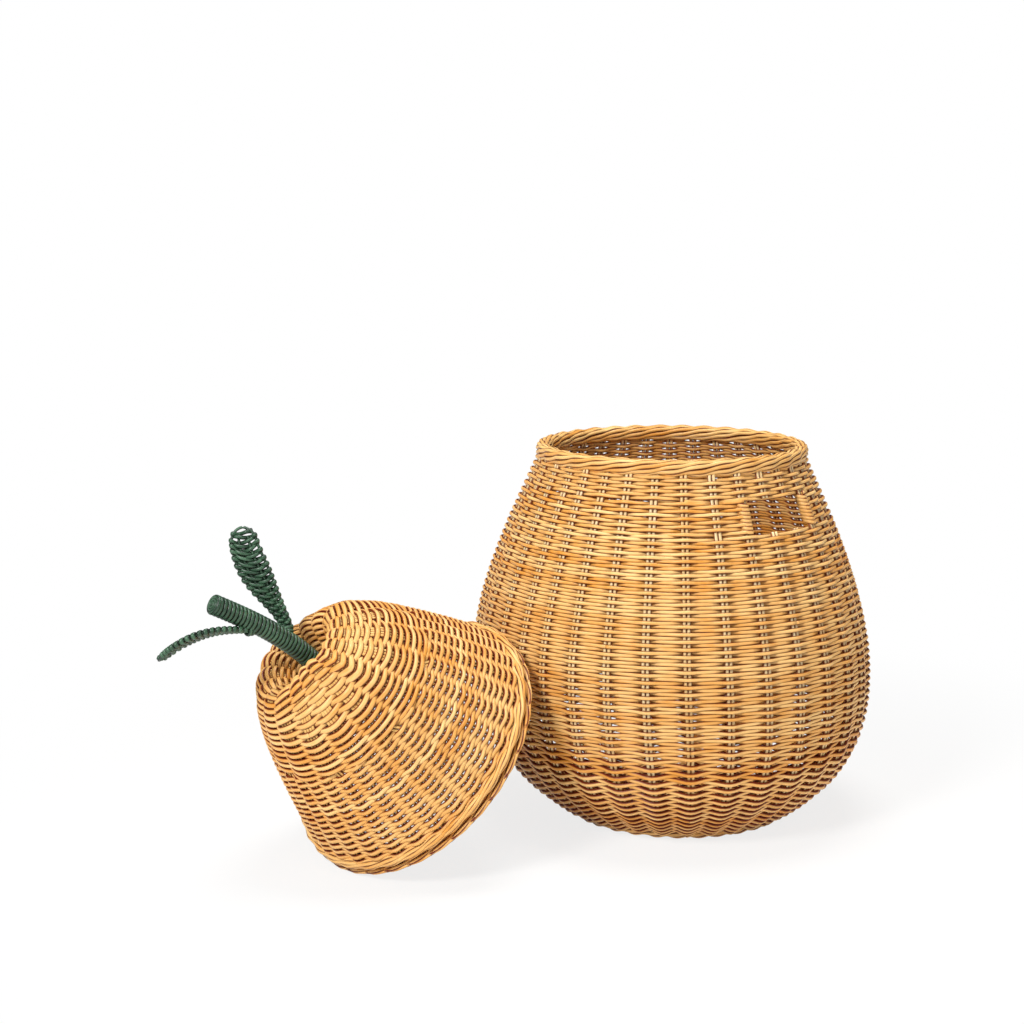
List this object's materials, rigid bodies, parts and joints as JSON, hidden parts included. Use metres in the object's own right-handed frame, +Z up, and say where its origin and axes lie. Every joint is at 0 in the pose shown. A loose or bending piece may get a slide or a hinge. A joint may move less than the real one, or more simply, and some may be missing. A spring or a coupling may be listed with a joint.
{
  "type": "lidded storage basket",
  "caption": "Pear-shaped woven storage basket with hand holes, and a domed lid with a wound stem and woven leaves that is lifted off and leans against it.",
  "frame": {"origin": "on the floor under the middle of the base of the basket", "axes": "+Z up along the axis of the basket, +X to the right in the picture, +Y away from the viewer; the lid leans at the front left"},
  "size_m": [0.724, 0.5347, 0.408],
  "materials": {
    "rattan_weave": "satin",
    "rattan_stake": "satin",
    "rattan_border": "satin",
    "green_cane": "satin"
  },
  "bodies": {
    "basket": {"base_weave": "rattan_weave", "base_sticks": "rattan_stake", "foot_border": "rattan_border", "rim_border": "rattan_border", "stake_pair_01": "rattan_stake", "stake_pair_02": "rattan_stake", "stake_pair_03": "rattan_stake", "stake_pair_04": "rattan_stake", "stake_pair_04_upper": "rattan_stake", "stake_pair_05": "rattan_stake", "stake_pair_05_upper": "rattan_stake", "stake_pair_06": "rattan_stake", "stake_pair_07": "rattan_stake", "stake_pair_08": "rattan_stake", "stake_pair_09": "rattan_stake", "stake_pair_10": "rattan_stake", "stake_pair_11": "rattan_stake", "stake_pair_12": "rattan_stake", "stake_pair_13": "rattan_stake", "stake_pair_14": "rattan_stake", "stake_pair_15": "rattan_stake", "stake_pair_16": "rattan_stake", "stake_pair_17": "rattan_stake", "stake_pair_18": "rattan_stake", "stake_pair_19": "rattan_stake", "stake_pair_20": "rattan_stake", "stake_pair_20_upper": "rattan_stake", "stake_pair_21": "rattan_stake", "stake_pair_21_upper": "rattan_stake", "stake_pair_22": "rattan_stake", "stake_pair_23": "rattan_stake", "stake_pair_24": "rattan_stake", "stake_pair_25": "rattan_stake", "stake_pair_26": "rattan_stake", "stake_pair_27": "rattan_stake", "stake_pair_28": "rattan_stake", "stake_pair_29": "rattan_stake", "stake_pair_30": "rattan_stake", "stake_pair_31": "rattan_stake", "stake_pair_32": "rattan_stake", "stake_pair_33": "rattan_stake", "wall_weave_lower": "rattan_weave", "wall_weave_belly": "rattan_weave", "wall_weave_top": "rattan_weave", "hand_hole_post_right_front": "rattan_border", "hand_hole_post_right_back": "rattan_border", "hand_hole_post_left_back": "rattan_border", "hand_hole_post_left_front": "rattan_border"},
    "lid": {"lid_seat_ring": "rattan_border", "lid_border": "rattan_border", "lid_stakes": "rattan_stake", "lid_weave": "rattan_weave", "stem_wrap": "green_cane", "stem_end_disc": "green_cane", "upright_leaf_frame": "green_cane", "upright_leaf_weave": "green_cane", "drooping_leaf_frame": "green_cane", "drooping_leaf_weave": "green_cane", "stem_core": "green_cane"}
  },
  "joints": [
    {"name": "lid_lift", "type": "slide", "parent": "basket", "child": "lid", "axis": [0, 0, 1], "range_m": [0, 0.42]}
  ]
}
